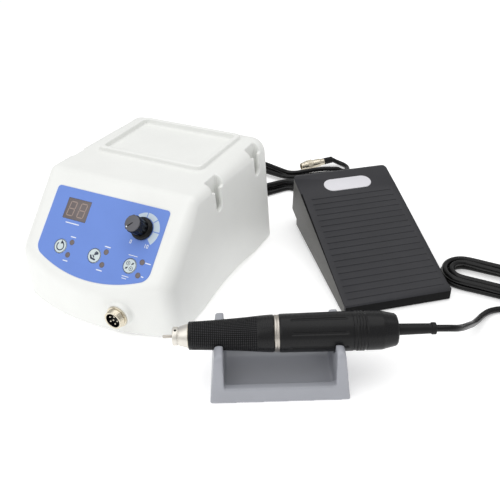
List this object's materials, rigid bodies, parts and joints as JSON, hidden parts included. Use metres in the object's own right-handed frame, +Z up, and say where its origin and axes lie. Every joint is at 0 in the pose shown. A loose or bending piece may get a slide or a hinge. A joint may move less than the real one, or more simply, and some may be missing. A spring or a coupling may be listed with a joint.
{
  "type": "brushless micromotor set",
  "caption": "Brushless micromotor set: control unit with sloped panel, knob and keys, handpiece on a cradle, pressure foot pedal, cords with plugs",
  "frame": {"origin": "on the table under the control unit, 93 mm behind the front of its foot", "axes": "+X to the control unit's right, +Y to its rear, +Z up; its front faces -Y"},
  "size_m": [0.4819, 0.4005, 0.1077],
  "materials": {
    "white_plastic": "moulded, satin",
    "rubber_grey": "matte",
    "steel": "turned",
    "blue_overlay": "printed film",
    "smoked_lens": "smoked window",
    "dark_plastic": "moulded",
    "indicator_lens": "unlit lens",
    "key_plastic": "moulded",
    "knob_black": "moulded, fluted",
    "knob_grey": "moulded",
    "circuit_board": "solder mask",
    "nickel": "nickel plate",
    "gold_pins": "plated",
    "core_steel": "varnished stack",
    "copper_coil": "wound, lacquered",
    "aluminium": "extruded",
    "red_plastic": "moulded",
    "magnet": "sintered",
    "handpiece_black": "satin black coat",
    "black_rubber": "matte",
    "cradle_grey": "moulded, satin",
    "pedal_charcoal": "fine grain",
    "pedal_grey": "fine grain",
    "cord_black": "smooth jacket"
  },
  "bodies": {
    "set": {"housing": "white_plastic", "base_plate": "white_plastic", "unit_feet": "rubber_grey", "base_screws": "steel", "panel_overlay": "blue_overlay", "display_lens": "smoked_lens", "display_module": "dark_plastic", "indicator_lenses": "indicator_lens", "potentiometer": "steel", "control_board": "circuit_board", "front_socket_shell": "nickel", "front_socket_insert": "dark_plastic", "front_socket_pins": "gold_pins", "front_socket_nut": "nickel", "transformer_core": "core_steel", "transformer_coil": "copper_coil", "driver_board": "circuit_board", "heat_sink": "aluminium", "mains_inlet": "dark_plastic", "switch_frame": "dark_plastic", "pedal_socket_shell": "nickel", "pedal_socket_insert": "dark_plastic", "nose_cap": "nickel", "front_quill": "steel", "bearings": "steel", "stator": "copper_coil", "middle_ring": "nickel", "motor_housing": "handpiece_black", "rear_cap": "handpiece_black", "strain_relief": "black_rubber", "cradle": "cradle_grey", "pedal_base": "pedal_grey", "pivot_pin": "steel", "return_spring": "steel", "sensor_board": "circuit_board", "pedal_feet": "black_rubber", "pedal_gland": "black_rubber", "handpiece_cord": "cord_black", "handpiece_cord_coil": "cord_black", "handpiece_plug": "dark_plastic", "pedal_cord": "cord_black", "pedal_cord_hank": "cord_black", "pedal_plug": "dark_plastic"},
    "knob": {"speed_knob": "knob_black", "knob_cap": "knob_grey", "control_shaft": "steel"},
    "direction_key": {"key_direction": "key_plastic"},
    "control_key": {"key_control": "key_plastic"},
    "auto_key": {"key_auto": "key_plastic"},
    "rocker": {"power_rocker": "red_plastic"},
    "tread": {"pedal_tread": "pedal_charcoal", "sensor_magnet": "magnet"},
    "spindle": {"tool_shank": "steel", "collet": "steel", "spindle_shaft": "steel", "rotor_magnet": "magnet"},
    "grip": {"grip_sleeve": "handpiece_black"},
    "cam": {"release_cam": "steel"},
    "large_ring": {"handpiece_plug_ring": "nickel"},
    "small_ring": {"pedal_plug_ring": "nickel"}
  },
  "joints": [
    {"name": "knob_turn", "type": "hinge", "parent": "set", "child": "knob", "pos_m": [0.0364, -0.05149, 0.07962], "axis": [0, 0.7096, -0.7046], "range_deg": [0, 280]},
    {"name": "direction_press", "type": "slide", "parent": "set", "child": "direction_key", "axis": [0, 0.7096, -0.7046], "range_m": [0, 0.0005], "stiffness_N_per_m": 700, "springref_m": -0.0006},
    {"name": "control_press", "type": "slide", "parent": "set", "child": "control_key", "axis": [0, 0.7096, -0.7046], "range_m": [0, 0.0005], "stiffness_N_per_m": 700, "springref_m": -0.0006},
    {"name": "auto_press", "type": "slide", "parent": "set", "child": "auto_key", "axis": [0, 0.7096, -0.7046], "range_m": [0, 0.0005], "stiffness_N_per_m": 700, "springref_m": -0.0006},
    {"name": "rocker_tip", "type": "hinge", "parent": "set", "child": "rocker", "pos_m": [-0.038, 0.103, 0.066], "axis": [0, 0, 1], "range_deg": [0, 18]},
    {"name": "tread_press", "type": "hinge", "parent": "set", "child": "tread", "pos_m": [0.21865, 0.04342, 0.006], "axis": [-0.7694, -0.6388, 0], "range_deg": [0, 3], "stiffness_Nm_per_rad": 6, "springref_deg": -11.46, "deforming": ["return_spring"]},
    {"name": "spindle_spin", "type": "hinge", "parent": "set", "child": "spindle", "pos_m": [0.09793, -0.11162, 0.0385], "axis": [0.8846, 0.4664, 0], "continuous": true},
    {"name": "chuck_twist", "type": "hinge", "parent": "set", "child": "grip", "pos_m": [0.09793, -0.11162, 0.0385], "axis": [0.8846, 0.4664, 0], "range_deg": [0, 60]},
    {"name": "release_slide", "type": "slide", "parent": "set", "child": "cam", "axis": [0.8846, 0.4664, 0], "range_m": [0, 0.001]},
    {"name": "large_ring_turn", "type": "hinge", "parent": "set", "child": "large_ring", "pos_m": [0.395, 0.1089, 0.0087], "axis": [0, 1, 0], "continuous": true},
    {"name": "small_ring_turn", "type": "hinge", "parent": "set", "child": "small_ring", "pos_m": [0.07726, 0.26782, 0.0084], "axis": [-0.6884, -0.7236, -0.0502], "continuous": true}
  ],
  "couplings": [
    {"joint": "release_slide", "follows": "chuck_twist", "m_per_rad": 0.00095}
  ]
}
